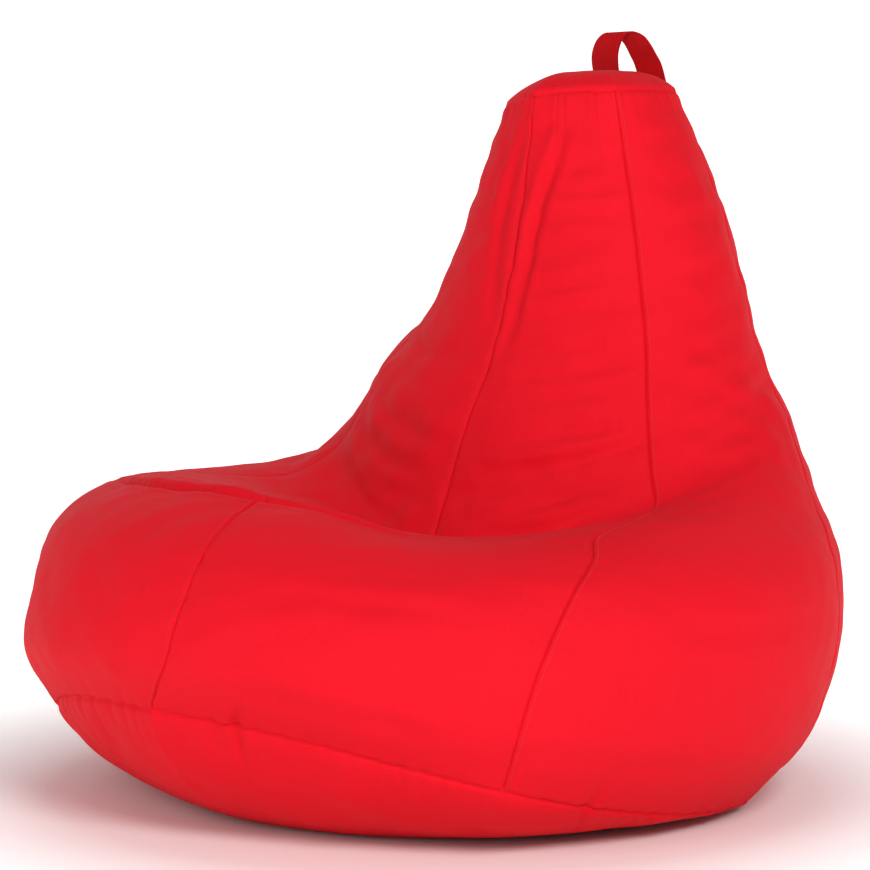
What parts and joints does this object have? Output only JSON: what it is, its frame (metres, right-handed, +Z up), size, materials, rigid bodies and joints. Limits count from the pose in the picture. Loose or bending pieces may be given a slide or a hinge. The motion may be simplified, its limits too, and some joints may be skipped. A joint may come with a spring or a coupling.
{
  "type": "bean bag chair",
  "caption": "Pear-shaped bean bag chair: sewn cloth gores, cap and base panel, back zip, webbing hang loop, zipped liner and a bead filling, slumped into a seat with a tall back.",
  "frame": {"origin": "centre of the plan outline, on the floor", "axes": "+Z up; -Y toward the front lobe where the sitter's knees go; +Y toward the zip up the back; +X to the right for someone who faces the chair's back from in front"},
  "size_m": [0.9556, 0.9662, 0.8938],
  "materials": {
    "cover_cloth": "plain-weave coated polyester, soft sheen",
    "webbing": "woven polyester webbing",
    "zip_tape": "woven zip tape",
    "zip_coil": "nylon coil",
    "zip_metal": "painted zinc casting",
    "liner_cloth": "thin plain-weave liner cloth",
    "liner_tape": "woven zip tape",
    "liner_coil": "nylon coil",
    "beads": "expanded polystyrene beads, as one heap"
  },
  "bodies": {
    "bag": {"cover_gore_front_right": "cover_cloth", "cover_gore_right": "cover_cloth", "cover_gore_back_right": "cover_cloth", "cover_gore_back_left": "cover_cloth", "cover_gore_left": "cover_cloth", "cover_gore_front_left": "cover_cloth", "cover_cap": "cover_cloth", "cover_base": "cover_cloth", "hang_loop_end_left": "webbing", "hang_loop_end_right": "webbing", "cover_zip_tape_left": "zip_tape", "cover_zip_tape_right": "zip_tape", "cover_zip_coil_left": "zip_coil", "cover_zip_coil_right": "zip_coil", "cover_zip_top_stop": "zip_metal", "cover_zip_bottom_stop": "zip_metal", "liner_gore_front_right": "liner_cloth", "liner_gore_right": "liner_cloth", "liner_gore_back_right": "liner_cloth", "liner_gore_back_left": "liner_cloth", "liner_gore_left": "liner_cloth", "liner_gore_front_left": "liner_cloth", "liner_cap_front": "liner_cloth", "liner_cap_back": "liner_cloth", "liner_base": "liner_cloth", "liner_zip_tape_front": "liner_tape", "liner_zip_tape_back": "liner_tape", "liner_zip_coil_front": "liner_coil", "liner_zip_coil_back": "liner_coil", "liner_zip_stop_left": "zip_metal", "liner_zip_stop_right": "zip_metal", "bead_fill": "beads"},
    "hang_loop": {"hang_loop": "webbing"},
    "zip_slider": {"cover_zip_slider": "zip_metal"},
    "zip_pull": {"cover_zip_pull": "zip_metal"},
    "liner_slider": {"liner_zip_slider": "zip_metal"}
  },
  "joints": [
    {"name": "hang_loop_tip", "type": "hinge", "parent": "bag", "child": "hang_loop", "pos_m": [-0.0055, 0.35548, 0.8217], "axis": [0.9831, 0.1832, 0], "range_deg": [-85, 15], "stiffness_Nm_per_rad": 0.01},
    {"name": "cover_zip_run", "type": "hinge", "parent": "bag", "child": "zip_slider", "pos_m": [0.00388, -0.10261, 0.33499], "axis": [1, 0, 0], "range_deg": [0, 38.4]},
    {"name": "zip_pull_swing", "type": "hinge", "parent": "zip_slider", "child": "zip_pull", "pos_m": [0.00388, 0.4441, 0.11278], "axis": [1, 0, 0], "range_deg": [-20, 145]},
    {"name": "liner_zip_run", "type": "slide", "parent": "bag", "child": "liner_slider", "axis": [1, 0, 0], "range_m": [0, 0.127]}
  ]
}
